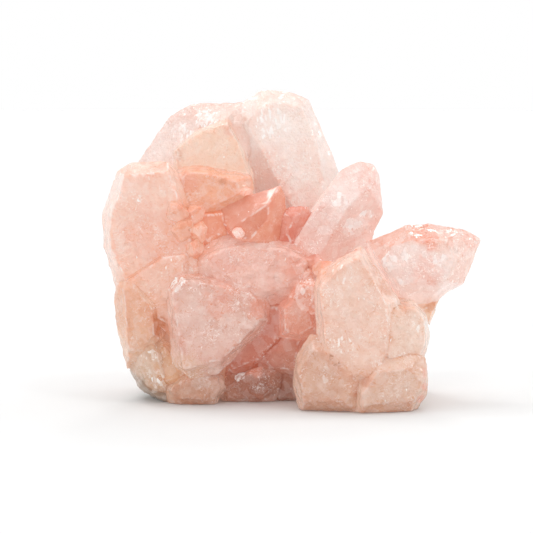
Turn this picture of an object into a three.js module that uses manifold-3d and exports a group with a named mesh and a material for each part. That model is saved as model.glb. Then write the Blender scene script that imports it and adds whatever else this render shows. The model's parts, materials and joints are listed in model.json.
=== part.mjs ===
// Cluster of rose quartz crystals: clear points and massive blocks grown together on a piece of host rock.
// Units are millimetres, +X right, +Y away from the front, +Z up. The cluster stands on z = 0.
import * as THREE from 'three';
import { ConvexGeometry } from 'three/addons/geometries/ConvexGeometry.js';
import { mergeVertices } from 'three/addons/utils/BufferGeometryUtils.js';
import Module from 'manifold-3d';

const wasm = await Module();
wasm.setup();

// Driving dimensions
const gap = 0.3;            // clearance between crystals that touch
const backShrink = 0.78;    // how much a massive crystal narrows from its girdle to its back
const coreRadii = [40, 15, 30];   // half sizes of the massive quartz that everything grows from
const coreCentre = [-3, 14, 27];
const grainRoundness = 0.82;      // lower corners of a grain against its upper ones
const slabSize = 300;             // ground slab that trims the cluster to its resting plane

// Tints of quartz, and of the host rock
const tints = {
  clearRose: { color: 0xf0c9c3, roughness: 0.12 },
  clearPeach: { color: 0xf3c3b0, roughness: 0.14 },
  paleRose: { color: 0xf0d0c6, roughness: 0.32 },
  milkyRose: { color: 0xefc4b8, roughness: 0.4 },
  peach: { color: 0xf3c9ac, roughness: 0.38 },
  amber: { color: 0xe3a27f, roughness: 0.36 },
  deepRose: { color: 0xc97d70, roughness: 0.3 },
  redRose: { color: 0xdd8373, roughness: 0.28 },
  beige: { color: 0xdcbfa4, roughness: 0.5 },
  smoky: { color: 0xa88072, roughness: 0.48 },
  brown: { color: 0x7d5646, roughness: 0.5 },
  frost: { color: 0xf9efec, roughness: 0.25 },
  hostRock: { color: 0x55504c, roughness: 0.8 },
};

// Corners [x, y, z] given one by one, for a crystal whose facets all differ
const faceted = (corners) => corners.map(([x, y, z]) => new THREE.Vector3(x, y, z));

// An outline [x, z] standing at depth y. Lean carries its top back and turn its right side, in mm per
// mm; it can also shrink about its own middle and drift sideways and up.
function upright(y, outline, lean, turn, scale = 1, [driftX, driftZ] = [0, 0]) {
  const midX = outline.reduce((sum, [x]) => sum + x, 0) / outline.length;
  const midZ = outline.reduce((sum, [, z]) => sum + z, 0) / outline.length;
  return outline.map(([x, z]) => new THREE.Vector3(
    midX + (x - midX) * scale + driftX,
    y + lean * (z - midZ) + turn * (x - midX),
    midZ + (z - midZ) * scale + driftZ));
}

// A massive crystal: a flat face, the girdle where it is widest, and a back that narrows, drifts
// and leans the other way
const massive = (faceY, face, girdleY, girdle, backY, { lean = 0, turn = 0, drift = [0, 0] } = {}) => [
  ...upright(faceY, face, lean, turn),
  ...upright(girdleY, girdle, lean, turn),
  ...upright(backY, girdle, -lean / 2, -turn / 2, backShrink, drift)];

// A six-sided quartz point from its root to its tip. The three rhombohedral faces start lower than
// the other three, and the tip is a short chisel edge.
function quartzPoint({ root, tip, wide, deep, head, roll = 0, flare = 1.1 }) {
  const from = new THREE.Vector3(...root);
  const to = new THREE.Vector3(...tip);
  const axis = to.clone().sub(from);
  const length = axis.length();
  axis.normalize();
  const across = new THREE.Vector3(1, 0, 0).cross(axis).cross(axis).normalize().applyAxisAngle(axis, roll);
  const through = new THREE.Vector3().crossVectors(axis, across);
  const at = (along, u, v) => from.clone().addScaledVector(axis, along)
    .addScaledVector(across, u).addScaledVector(through, v);
  const corners = [at(length, wide * 0.06, 0), at(length - 0.4, -wide * 0.08, 0)];
  for (let k = 0; k < 6; k += 1) {
    const angle = (k + 0.5) * Math.PI / 3;
    const u = Math.cos(angle) * wide / 2;
    const v = Math.sin(angle) * deep / 2;
    corners.push(at(length - head * (k % 2 ? 1.25 : 0.85), u, v), at(0, u * flare, v * flare));
  }
  return corners;
}

// A rounded druse grain: the twelve corners of an icosahedron, stretched and turned
function grain(x, y, z, width, height, turn) {
  const source = new THREE.IcosahedronGeometry(0.5, 0).getAttribute('position');
  const corners = new Map();
  for (let i = 0; i < source.count; i += 1) {
    const p = new THREE.Vector3().fromBufferAttribute(source, i);
    corners.set(p.toArray().map((v) => v.toFixed(3)).join(), p);
  }
  return [...corners.values()].map((p) => {
    p.applyEuler(new THREE.Euler(turn, turn * 1.7, turn * 0.6));
    const fullness = p.z < 0 ? grainRoundness : 1;
    return new THREE.Vector3(x + p.x * width * fullness, y + p.y * width, z + p.z * height);
  });
}

// The crystals, foremost first: each one is cut back where it meets those named before it
const crystals = {
  // front right lobe
  right_front_crystal: ['paleRose', massive(
    -25, [[9, 38], [14, 44.5], [21, 47.5], [24.5, 39], [29.5, 33], [29, 20], [26, 12.5], [17, 12], [11, 17]],
    -18, [[7, 39], [8.5, 43], [21.5, 51], [25, 46], [33.5, 34], [31.5, 20], [26, 9], [15.5, 9.5], [8, 24]],
    2, { lean: 0.12, turn: 0.1, drift: [2, -3] })],
  right_side_crystal: ['paleRose', massive(
    -19, [[33, 31.5], [38, 31.5], [41, 27.5], [41.5, 20.5], [38.5, 16.5], [32, 17]],
    -12, [[31, 33], [38, 33.5], [42, 29.5], [43.5, 22], [42.5, 16.5], [39, 13.5], [29, 14.5]],
    10, { lean: 0.1, turn: 0.6, drift: [-5, 0] })],
  front_base_crystal: ['milkyRose', massive(
    -25.5, [[2.5, 12], [6.5, 20], [9.5, 14], [18, 8], [18, 3.5], [4, 3.5]],
    -19, [[0.5, 8], [1.5, 17.5], [6, 24], [12, 22], [23, 8.5], [21, -4], [3.5, -4]],
    2, { lean: -0.2, turn: -0.2, drift: [0, -4] })],
  right_base_crystal: ['milkyRose', massive(
    -26, [[21.5, 7], [28.5, 13], [37, 14], [40, 9], [38, 3.5], [22.5, 3]],
    -20, [[19.5, -4], [20.5, 8], [30, 17], [41.5, 17], [42.5, 10], [42, 4], [37, -4]],
    10, { lean: -0.15, turn: 0.25, drift: [-5, -4] })],
  far_right_point: ['clearPeach', faceted([
    [24.5, 4, 50], [36, 2, 55.5], [44, 2, 56], [50.5, 2, 54.5], [55.5, 3, 54], [60.5, 5, 51],
    [55, 2, 37.5], [50, 1, 34.5], [42.5, 0, 30.5], [34.5, 0, 31.5],
    [28, -4, 44.5], [31.5, -5, 49.5], [37.5, -8, 51.5], [49, -7, 51.5], [51, -8, 45], [48.5, -8, 39],
    [34, -8, 38], [24, 16, 46], [38, 17, 52], [51, 15, 51], [57, 11, 47], [50, 13, 37], [36, 15, 34]])],
  orange_flake: ['amber', massive(
    -2, [[41, 29], [46, 31.5], [43.5, 25.5]], 2, [[39, 31], [47.5, 33], [44, 23.5]], 9, { turn: 0.3 })],
  upper_right_point: ['clearRose', faceted([
    [12.5, 2, 68.5], [16, 3, 73], [22, 1.5, 76], [26, 1, 75], [27.5, 2, 72.5], [29.5, 4, 59.5],
    [24, 6, 48], [25, -2, 72.5], [23.5, -6, 64], [22, -7, 59], [17, -6, 45], [9, -4, 42], [1, -1, 50],
    [9, -3, 62.5], [17, 12, 71], [25, 12, 70], [26, 15, 58], [20, 17, 44], [3, 13, 46], [8, 13, 60]])],

  // front and centre
  glassy_knob: ['clearRose', massive(
    -14, [[1.5, 35], [4, 38], [6.5, 38], [6.5, 32], [4, 31]],
    -9, [[-0.5, 34], [1.5, 38], [6.5, 40], [9, 36], [8.5, 28.5], [3, 29]], 0, { lean: -0.3 })],
  big_front_crystal: ['paleRose', massive(
    -14, [[-36.5, 36], [-33, 40], [-23.5, 38], [-10.5, 34], [-9, 27.5], [-21.5, 15], [-33, 12.5]],
    -8, [[-38.5, 37], [-35, 41], [-15.5, 39], [-7, 33], [-7, 26.5], [-12.5, 19.5], [-22, 10.5],
      [-31.5, 8.5], [-37, 13]], 6, { lean: 0.1, turn: 0.08, drift: [4, 3] })],
  rounded_centre_crystal: ['milkyRose', massive(
    -10, [[-26, 46.5], [-17.5, 50], [-3.5, 49], [4.5, 45], [3, 38], [-9, 36], [-24, 41]],
    -3, [[-31, 43], [-26.5, 50.5], [-20.5, 52.5], [-9, 52], [3, 49.5], [10, 44.5], [8.5, 37],
      [-7, 31], [-26, 33]], 10, { lean: 0.2 })],
  salmon_crystal: ['redRose', massive(
    -11, [[-2, 31], [0, 32.5], [5, 29], [7, 25], [3, 22.5], [-1.5, 23.5]],
    -5, [[-3.5, 31.5], [0, 34], [8.5, 29.5], [8.5, 21.5], [3, 20], [-3, 21.5]], 5,
    { lean: -0.2, turn: 0.3 })],
  lower_left_crystal: ['peach', massive(
    -9, [[-52, 36], [-48.5, 37], [-43, 30.5], [-42.5, 22.5], [-46.5, 18], [-50.5, 17]],
    -3, [[-55.5, 33], [-54.5, 38], [-50.5, 39.5], [-41.5, 31], [-41, 20.5], [-45.5, 14], [-51.5, 10.5],
      [-54.5, 22]], 12, { lean: -0.1, turn: -0.4, drift: [4, 0] })],
  pink_wedge_crystal: ['milkyRose', massive(
    -8, [[-49, 40], [-40, 46], [-33, 47], [-38, 39.5], [-39.5, 26.5], [-42, 31.5]],
    -2, [[-51.5, 39.5], [-41, 47], [-29, 48.5], [-31.5, 32.5], [-37, 16.5], [-41, 19.5], [-43.5, 30.5]],
    10, { lean: 0.05, turn: -0.12 })],
  left_foot_crystal: ['beige', massive(
    -7, [[-48, 12.5], [-44, 18.5], [-42.5, 18.5], [-39.5, 8.5], [-40, 4.5], [-44, 5.5]],
    -2, [[-52, 11.5], [-46, 18], [-42.5, 20.5], [-37.5, 9.5], [-38, 2.5], [-43, 3], [-49, 7.5]], 12,
    { lean: -0.3, turn: -0.35, drift: [3, 2] })],
  peach_keystone: ['peach', massive(
    -7, [[-42, 16.5], [-39, 17.5], [-33, 10], [-37.5, 7.5]],
    -1, [[-43.5, 17], [-41, 20], [-37.5, 18], [-31, 9.5], [-32, 3.5], [-39, 4.5]], 8)],
  front_pebble: ['beige', massive(
    -10, [[-37, 5], [-33, 8], [-23.5, 8.5], [-22, 5.5], [-25.5, 2.5], [-36, 2]],
    -5, [[-39, 5], [-34.5, 8.5], [-21.5, 9.5], [-20, 5.5], [-25, -3], [-38, -3]], 6,
    { lean: -0.2, turn: -0.1, drift: [0, -3] })],
  deep_rose_crystal: ['deepRose', massive(
    -5, [[-19, 10.5], [-8, 20.5], [-6, 30], [-3.5, 30.5], [-3.5, 21.5], [-10, 14]],
    1, [[-21.5, 8], [-19, 16], [-11, 25.5], [-7, 33], [-1, 32], [-1, 21], [-9, 12], [-16, 7]], 12,
    { turn: -0.15 })],
  smoky_base_crystal: ['smoky', massive(
    -4, [[-19.5, 5.5], [-14, 9], [-7, 9.5], [-6, 4], [-9, 1.5], [-19.5, 1.5]],
    0, [[-22, -3], [-21.5, 6.5], [-14.5, 10.5], [-3, 11], [-2, 6], [-4, -3]], 14,
    { lean: -0.2, drift: [0, -3] })],
  brown_base_crystal: ['brown', massive(
    -1, [[-4.5, 1.5], [-2.5, 8.5], [1, 8.5], [2, 1]], 4, [[-6.5, -3], [-4, 9.5], [3, 9.5], [3, -3]], 12,
    { drift: [0, -3] })],
  recess_crystal: ['deepRose', massive(
    -4, [[-9, 15], [-2.5, 20], [2.5, 19.5], [0.5, 10.5], [-6, 11.5]],
    1, [[-11, 13], [-3, 21], [5, 21], [3, 8], [-9, 8]], 12)],

  // small growths in the nooks between them
  nook_grain_1: ['redRose', grain(7, -7, 44.5, 6.5, 4.5, 0.4)],
  nook_grain_2: ['milkyRose', grain(5, -9.5, 40.5, 4.2, 3.6, 1.3)],
  nook_grain_3: ['amber', grain(10, -13, 43, 6.5, 4.5, 2.2)],
  seam_grain_1: ['peach', grain(-35, -6.5, 60, 6, 6.5, 0.2)],
  seam_grain_2: ['amber', grain(-30, -5.5, 59.5, 5.4, 6, 1.1)],
  seam_grain_3: ['peach', grain(-33, -6.5, 54.5, 6, 6, 1.9)],
  seam_grain_4: ['amber', grain(-29, -6, 54, 5, 6.4, 2.7)],
  seam_grain_5: ['milkyRose', grain(-30, -7, 49.5, 5.5, 5, 0.8)],
  frost_grain_1: ['frost', grain(-16, -7.5, 54, 5, 4, 0.5)],
  frost_grain_2: ['frost', grain(-14, -2, 66.5, 4.5, 3, 1.4)],

  // upper left and centre
  centre_point: ['clearRose', faceted([
    [-3, -3, 68.5], [-9, -1, 66.5], [-22, 2, 62], [-21.5, -2, 57], [-19, -7, 55], [-12.5, -9, 52],
    [-7, -8, 63], [-7, -9, 58.5], [-1.5, -1, 65], [-1.5, -2, 55], [-4, -3, 50], [-4, 6, 66],
    [-14, 8, 63], [-18, 9, 50], [-4, 8, 50]])],
  red_point: ['redRose', faceted([
    [-0.5, -1, 61.5], [3.5, -1, 62], [6, 0, 61.5], [6.5, 0, 60], [0.5, -3, 50], [-4, -3, 51],
    [-2, -4, 59.5], [1.5, -5, 59], [-1, -5, 53.5], [0, 6, 60], [5, 6, 59], [-2, 7, 50]])],
  left_shoulder_crystal: ['milkyRose', massive(
    -5.5, [[-51.5, 71.5], [-38, 73], [-34.5, 62.5], [-30, 51.5], [-31.5, 45], [-50.5, 36], [-56, 49],
      [-56, 58]],
    2, [[-59.5, 59.5], [-54.5, 72.5], [-50, 75.5], [-38.5, 76], [-33, 69], [-28.5, 51], [-29.5, 32],
      [-54, 30.5], [-59, 49.5]], 22, { lean: -0.04, turn: -0.12, drift: [4, -4] })],
  orange_block: ['amber', massive(
    -3, [[-28, 59], [-22.5, 59.5], [-21, 54], [-26.5, 51]],
    2, [[-29, 59], [-22, 60.5], [-20, 50], [-27.5, 48]], 10)],
  amber_crystal: ['amber', massive(
    -3, [[-35, 69.5], [-32, 72.5], [-24.5, 72], [-16.5, 69.5], [-19, 64.5], [-27, 61], [-33.5, 64]],
    3, [[-36.5, 70], [-34.5, 73.5], [-28.5, 74], [-12, 71], [-11.5, 67], [-17, 60], [-31, 58.5],
      [-35.5, 64]], 14)],
  peach_crystal: ['peach', massive(
    4, [[-36.5, 79], [-29.5, 84], [-20, 87.5], [-17, 82], [-15, 76], [-17.5, 69], [-33, 71]],
    8, [[-37.5, 79], [-29.5, 85], [-19.5, 88.5], [-14, 77], [-14, 62], [-33, 60]], 20,
    { lean: 0.1, turn: 0.1 })],
  tall_back_crystal: ['paleRose', massive(
    9, [[-11, 91], [-6, 93.5], [2.5, 93], [8.5, 80], [11, 64.5], [9, 45], [-12, 45], [-15, 76], [-15, 86]],
    15, [[-14.5, 93.5], [-9.5, 98], [1.5, 97], [5.5, 95], [10.5, 84.5], [16, 71], [16.5, 50], [13, 30],
      [-13, 30], [-17.5, 46.5], [-18, 86.5]], 33, { lean: 0.1, turn: 0.12, drift: [-1, -7] })],
  left_back_crystal: ['paleRose', massive(
    12, [[-30, 90], [-19, 90.5], [-15, 84], [-15, 53.5], [-41, 53.5], [-40.5, 75], [-35, 84]],
    18, [[-49.5, 73.5], [-42.5, 84], [-38, 89.5], [-31, 93.5], [-15, 93.5], [-9, 85], [-9, 46.5],
      [-45, 44], [-51, 60]], 31, { lean: 0.12, turn: -0.25, drift: [5, -8] })],

  // the back, which grows the other way
  back_right_point: ['clearRose', quartzPoint({
    root: [14, 14, 30], tip: [24, 37, 46], wide: 15, deep: 13, head: 9, roll: 0.3 })],
  back_centre_point: ['paleRose', quartzPoint({
    root: [-6, 16, 36], tip: [-10, 39.5, 57], wide: 17, deep: 15, head: 10, roll: 0.8 })],
  back_left_point: ['clearPeach', quartzPoint({
    root: [-32, 14, 36], tip: [-43, 37, 52], wide: 14, deep: 12, head: 8, roll: 0.1 })],
  back_right_crystal: ['milkyRose', massive(
    31, [[8, 38], [26, 39], [33, 27], [30, 16], [10, 17]],
    24, [[4, 44], [28, 45], [38, 30], [36, 13], [6, 12]], 4, { lean: -0.2, turn: -0.25, drift: [-3, 0] })],
  back_centre_crystal: ['paleRose', massive(
    36, [[-22, 44], [-2, 46], [6, 33], [0, 20], [-19, 19]],
    28, [[-27, 51], [-2, 55], [10, 36], [3, 13], [-23, 12]], 8, { lean: -0.25, turn: 0.1 })],
  back_left_crystal: ['milkyRose', massive(
    30, [[-46, 46], [-31, 49], [-24, 33], [-31, 19], [-44, 22]],
    23, [[-53, 50], [-32, 57], [-19, 34], [-29, 12], [-49, 15]], 6,
    { lean: -0.15, turn: 0.3, drift: [3, 0] })],
  low_right_crystal: ['paleRose', massive(
    30, [[17, 14], [33, 13], [35, 4], [17, 4]], 23, [[13, 19], [36, 18], [38, -4], [13, -4]], 2,
    { lean: -0.3, turn: -0.3, drift: [0, -4] })],
  low_centre_crystal: ['peach', massive(
    35, [[-12, 15], [8, 16], [11, 5], [-12, 4]], 27, [[-17, 20], [12, 21], [14, -4], [-15, -4]], 6,
    { lean: -0.35, turn: -0.1, drift: [0, -4] })],
  low_left_crystal: ['beige', massive(
    31, [[-38, 15], [-21, 17], [-18, 5], [-35, 5]], 24, [[-45, 20], [-18, 22], [-13, -4], [-35, -4]], 4,
    { lean: -0.3, turn: 0.35, drift: [3, -4] })],
  grey_host_rock: ['hostRock', massive(
    -4, [[-47, 5.5], [-30, 8], [-26, 2], [-42, 1.5]],
    2, [[-51.5, 10], [-48.5, 4], [-44, 1], [-36, -3], [-22, -3], [-27, 13]], 22,
    { turn: -0.2, drift: [2, -3] })],
};

// A closed solid from any geometry, once its corners are shared
function solid(geometry) {
  geometry.deleteAttribute('normal');
  geometry.deleteAttribute('uv');
  const shared = mergeVertices(geometry, 1e-4);
  return new wasm.Manifold(new wasm.Mesh({
    numProp: 3,
    vertProperties: new Float32Array(shared.getAttribute('position').array),
    triVerts: new Uint32Array(shared.getIndex().array),
  }));
}

// The same crystal with every corner moved out by the gap in all directions
function swollen(corners) {
  const shifts = [-gap, gap];
  const moved = shifts.flatMap((dx) => shifts.flatMap((dy) => shifts.map((dz) => [dx, dy, dz])));
  return solid(new ConvexGeometry(corners.flatMap((corner) => moved.map(([dx, dy, dz]) => (
    new THREE.Vector3(corner.x + dx, corner.y + dy, corner.z + dz))))));
}

const slab = new THREE.BoxGeometry(slabSize, slabSize, slabSize);
slab.translate(0, 0, -slabSize / 2);
const ground = solid(slab);

const taken = [];   // swollen crystals that are already in the cluster
function placed(name, tint, whole) {
  const body = taken.reduce((rest, other) => rest.subtract(other), whole.subtract(ground));
  const [largest] = body.decompose().sort((a, b) => b.volume() - a.volume());
  const { vertProperties, triVerts } = largest.getMesh();
  const geometry = new THREE.BufferGeometry();
  geometry.setAttribute('position', new THREE.BufferAttribute(vertProperties, 3));
  geometry.setIndex(new THREE.BufferAttribute(triVerts, 1));
  const material = new THREE.MeshStandardMaterial({ ...tints[tint], metalness: 0, flatShading: true });
  const mesh = new THREE.Mesh(geometry, material);
  mesh.name = name;
  return mesh;
}

const cluster = new THREE.Group();
for (const [name, [tint, corners]] of Object.entries(crystals)) {
  cluster.add(placed(name, tint, solid(new ConvexGeometry(corners))));
  taken.push(swollen(corners));
}

// Massive quartz fills the inside and holds the crystals together
const core = new THREE.IcosahedronGeometry(1, 1);
core.scale(...coreRadii);
core.translate(...coreCentre);
cluster.add(placed('quartz_core', 'milkyRose', solid(core)));

// The origin is the middle of the cluster's footprint
const middle = new THREE.Box3().setFromObject(cluster, true).getCenter(new THREE.Vector3());
cluster.position.set(-middle.x, -middle.y, 0);

const part = new THREE.Group();
part.name = 'quartz_cluster';
part.add(cluster);
export default part;
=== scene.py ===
import itertools
import json
import math

import bmesh
import bpy
import numpy as np
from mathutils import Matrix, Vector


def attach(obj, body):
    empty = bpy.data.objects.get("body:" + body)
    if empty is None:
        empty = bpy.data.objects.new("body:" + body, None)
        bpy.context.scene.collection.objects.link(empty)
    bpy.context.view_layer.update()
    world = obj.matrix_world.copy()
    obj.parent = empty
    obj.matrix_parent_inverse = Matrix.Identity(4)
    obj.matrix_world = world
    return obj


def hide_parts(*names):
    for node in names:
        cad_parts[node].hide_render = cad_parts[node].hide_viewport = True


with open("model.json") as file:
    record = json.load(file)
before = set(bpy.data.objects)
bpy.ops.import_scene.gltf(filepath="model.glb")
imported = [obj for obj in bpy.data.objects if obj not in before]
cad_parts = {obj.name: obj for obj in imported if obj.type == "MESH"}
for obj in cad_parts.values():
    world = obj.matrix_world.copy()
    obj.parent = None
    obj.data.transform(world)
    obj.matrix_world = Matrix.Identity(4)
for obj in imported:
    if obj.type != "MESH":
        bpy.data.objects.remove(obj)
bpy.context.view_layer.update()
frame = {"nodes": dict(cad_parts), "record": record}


def mm(value):
    return value * 0.001


# Random numbers from 0 to 1 for whole arrays of lattice corners, the same on every run
def latticeRandom(corner, seed, count):
    mixed = (corner[..., 0] * 73856093) ^ (corner[..., 1] * 19349663) ^ (corner[..., 2] * 83492791)
    mixed = (mixed ^ (seed * 2654435)) & 0x7FFFFFFF
    numbers = []
    for turn in range(count):
        mixed = ((mixed ^ (mixed >> 13)) * (1274126177 + turn * 668)) & 0x7FFFFFFF
        mixed = ((mixed ^ (mixed >> 11)) * 668265263) & 0x7FFFFFFF
        numbers.append((mixed & 0xFFFFFF) / 0x1000000)
    return numbers


# Smooth noise in space, from -1 to 1: each lattice corner has a fixed slope, and the slopes at the eight
# corners around a point are blended with 6t^5 - 15t^4 + 10t^3.
def spaceNoise(points, cell, seed):
    scaled = points / cell + np.array([0.37, 0.71, 0.13]) * seed
    corner = np.floor(scaled).astype(np.int64)
    inside = scaled - corner
    blend = inside ** 3 * (inside * (inside * 6 - 15) + 10)
    total = np.zeros(len(points))
    for step in itertools.product((0, 1), repeat=3):
        turn, rise = latticeRandom(corner + step, seed, 2)
        rise = rise * 2 - 1
        flat = np.sqrt(np.clip(1 - rise ** 2, 0, 1))
        offset = inside - step
        slope = (offset[:, 0] * np.cos(turn * 2 * math.pi) * flat
                 + offset[:, 1] * np.sin(turn * 2 * math.pi) * flat + offset[:, 2] * rise)
        total += np.where(step, blend, 1 - blend).prod(axis=1) * slope
    return total * 1.5


# Chiselled relief in space, about -1 to 1: each lattice cell holds a site with its own tilted plane, and
# a point takes the planes of the sites around it, weighted by exp(-sharpness * distance squared).
def chiselNoise(points, cell, seed, sharpness=9.0):
    scaled = points / cell + np.array([0.61, 0.23, 0.47]) * seed
    corner = np.floor(scaled).astype(np.int64)
    total = np.zeros(len(points))
    weights = np.full(len(points), 1e-12)
    for step in itertools.product((-1, 0, 1), repeat=3):
        home = corner + step
        east, north, up, tiltEast, tiltNorth, tiltUp, height = latticeRandom(home, seed, 7)
        away = scaled - home - np.stack([east, north, up], axis=-1)
        weight = np.exp(-sharpness * (away ** 2).sum(1))
        tilted = (away * (np.stack([tiltEast, tiltNorth, tiltUp], axis=-1) * 2 - 1)).sum(1)
        total += weight * (tilted + 0.7 * height - 0.35)
        weights += weight
    return total / weights


def smoothStep(values, low, high):
    share = np.clip((values - low) / (high - low), 0, 1)
    return share * share * (3 - 2 * share)


# sRGB hex to linear RGB
def hexColour(code):
    parts = [int(code[k:k + 2], 16) / 255 for k in (1, 3, 5)]
    return [p / 12.92 if p <= 0.04045 else ((p + 0.055) / 1.055) ** 2.4 for p in parts]


# Corners of a CAD node as an array
def nodeCorners(node):
    mesh = frame["nodes"][node].data
    corners = np.empty(len(mesh.vertices) * 3)
    mesh.vertices.foreach_get("co", corners)
    return np.unique(corners.reshape(-1, 3).round(6), axis=0)


sameFacet = 0.9976  # cosine of 4 degrees
smallestFacet = 1e-9  # square metres


# Facet planes of a crystal: its corners are wrapped in a convex hull, and hull faces within 4 degrees of
# a larger one count as that one. Gives normals, distances from the origin, the middle of the crystal,
# and for each plane the middles and areas of its hull faces.
def facetPlanes(corners):
    cloud = bpy.data.meshes.new("wrap")
    cloud.from_pydata(corners.tolist(), [], [])
    bm = bmesh.new()
    bm.from_mesh(cloud)
    wrapped = bmesh.ops.convex_hull(bm, input=bm.verts)
    faces = [part for part in wrapped["geom"] if isinstance(part, bmesh.types.BMFace)]
    bm.normal_update()
    areas = np.array([face.calc_area() for face in faces])
    middles = np.array([face.calc_center_median() for face in faces])
    normals = np.array([face.normal for face in faces])
    bm.free()
    bpy.data.meshes.remove(cloud)
    middle = (middles * areas[:, None]).sum(0) / areas.sum()
    normals *= np.sign(((middles - middle) * normals).sum(1))[:, None]
    kept = []
    for index in np.argsort(-areas):
        apart = all(normals[index] @ normals[other] < sameFacet for other in kept)
        if areas[index] > smallestFacet and apart:
            kept.append(index)
    owner = np.argmax(normals @ normals[kept].T, axis=1)
    return normals[kept], (normals[kept] * middles[kept]).sum(1), middle, owner, middles, areas


# Chips: further planes in seeded directions, each up to depth inside the crystal's furthest corner
# that way, so that they only take off corners and arrises.
def chipPlanes(corners, middle, count, depth, rng):
    normals = rng.normal(size=(count, 3))
    normals /= np.linalg.norm(normals, axis=1)[:, None]
    reach = ((corners - middle) @ normals.T).max(0)
    return normals, normals @ middle + reach - depth * rng.uniform(0.25, 1.0, count)


gridLimits = {"rows": (10, 280), "columns": (14, 420)}


# A closed grid of directions around an axis: rows of latitude, columns of longitude and two poles. The
# directions follow an ellipsoid of the crystal's own half sizes, so that the steps are even on it.
def directionGrid(halfSizes, step):
    axis = int(np.argmax(halfSizes))
    others = [k for k in range(3) if k != axis]
    meridian = math.pi * (halfSizes[axis] + halfSizes[others].mean()) / 2
    equator = 2 * math.pi * halfSizes[others].mean()
    rows = int(np.clip(meridian / step, *gridLimits["rows"]))
    columns = int(np.clip(equator / step, *gridLimits["columns"]))
    latitude = (np.arange(rows) + 1) * math.pi / (rows + 1)
    longitude = np.arange(columns) * 2 * math.pi / columns
    directions = np.empty((rows, columns, 3))
    directions[..., axis] = np.cos(latitude)[:, None] * halfSizes[axis]
    directions[..., others[0]] = np.outer(np.sin(latitude), np.cos(longitude)) * halfSizes[others[0]]
    directions[..., others[1]] = np.outer(np.sin(latitude), np.sin(longitude)) * halfSizes[others[1]]
    poles = np.zeros((2, 3))
    poles[:, axis] = (1, -1)
    directions = np.concatenate([directions.reshape(-1, 3), poles])
    directions /= np.linalg.norm(directions, axis=1)[:, None]
    mirrored = (others[1] - others[0]) * (1 if axis != 1 else -1) < 0
    return directions, rows, columns, mirrored


# Mesh of a closed grid: quads between the rows and a fan of triangles at each pole
def gridMesh(name, points, rows, columns, mirrored):
    cell = np.arange(rows * columns).reshape(rows, columns)
    nextCell = np.roll(cell, -1, axis=1)
    quads = np.stack([cell[:-1], cell[1:], nextCell[1:], nextCell[:-1]], axis=-1).reshape(-1, 4)
    north = np.stack([np.full(columns, rows * columns), cell[0], nextCell[0]], axis=-1)
    south = np.stack([np.full(columns, rows * columns + 1), nextCell[-1], cell[-1]], axis=-1)
    fans = np.concatenate([north, south])
    if mirrored:
        quads, fans = quads[:, ::-1], fans[:, ::-1]
    loops = np.concatenate([quads.ravel(), fans.ravel()])
    starts = np.concatenate([np.arange(len(quads)) * 4, len(quads) * 4 + np.arange(len(fans)) * 3])
    mesh = bpy.data.meshes.new(name)
    mesh.vertices.add(len(points))
    mesh.vertices.foreach_set("co", points.ravel())
    mesh.loops.add(len(loops))
    mesh.loops.foreach_set("vertex_index", loops)
    mesh.polygons.add(len(starts))
    mesh.polygons.foreach_set("loop_start", starts)
    mesh.update(calc_edges=True)
    mesh.validate()
    mesh.shade_smooth()
    return mesh


def say(*words):
    print("quartz:", *words, flush=True)


# The colours that the quartz comes in: its body colour by daylight, and its deep colour in its clouds,
# which is also laid into its hollows as painted shade
tints = {
    "whiteRose": ("#f4dbd2", "#efc6b8"), "milk": ("#fae1d6", "#f7cbbb"), "paleRose": ("#f4e0d9", "#f0bfb1"),
    "softRose": ("#fad8cb", "#f3b4a2"), "rose": ("#f5cfc3", "#ecae9d"), "warmRose": ("#fdd6c4", "#f5b299"),
    "duskyRose": ("#e8beb0", "#da9f8c"), "rosyBeige": ("#ecc0ac", "#e0a78f"), "peach": ("#ffe8d8", "#fdd3ba"),
    "palePeach": ("#f6dccc", "#ecbda4"), "warmBeige": ("#e9c2ac", "#dba58b"), "tan": ("#dbab93", "#c88f75"),
    "bone": ("#dfc5b2", "#cdac92"), "sand": ("#f2c5aa", "#e2a27f"), "ochre": ("#efb585", "#d99864"),
    "coral": ("#f7c2ab", "#eaa68c"), "apricot": ("#f8cba8", "#f3a378"), "amber": ("#f9bfa4", "#ea9d77"),
    "orange": ("#f5ab8a", "#e68e69"), "salmon": ("#f4b39d", "#e58d75"), "flame": ("#efae95", "#df8f74"),
    "red": ("#f0a089", "#d8725a"), "brick": ("#dd846b", "#c76850"), "smoke": ("#c58c76", "#a06753"),
    "cream": ("#f5cebc", "#ebb59c"), "clay": ("#e5bca6", "#d3a087"), "brickRose": ("#e29f8b", "#cb7d69"),
    "rustBrown": ("#864330", "#6c2e1e"), "hostGrey": ("#c6b09f", "#8c786b"),
}

# What to change in each crystal, the foremost first: a crystal grows into those above it in the list.
usual = {
    "tint": "rose", "facets": [],  # facets: tints of the facets that face certain ways
    "arris": 220,  # power of the rounding of arrises, higher is crisper
    "chips": 6, "chipDepth": 0.7,  # broken corners, and how deep they go in mm
    "ripple": 0.22, "chisel": 0.36,  # height in mm of waves and of conchoidal chips
    "grow": 0.0, "fillet": 1.4,  # mm added all round, and mm of rounding in corners beside neighbours
    "stain": 0.4, "crease": 0.5,  # iron along the seams, and how much they deepen
    "veil": 0.5, "paintedSideLight": 0.3,  # how milky, and how much paler its side facets are painted: painted light, as if it came through thin sides
    "rimShade": 0.3, "line": 0.5,  # painted shade: deeper colour beside the arrises, and a painted highlight: the fine light line on them
    "bleed": 0.8,  # how far the neighbours' colour comes through
    "step": 0.42,  # mm between points of its surface
}
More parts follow.
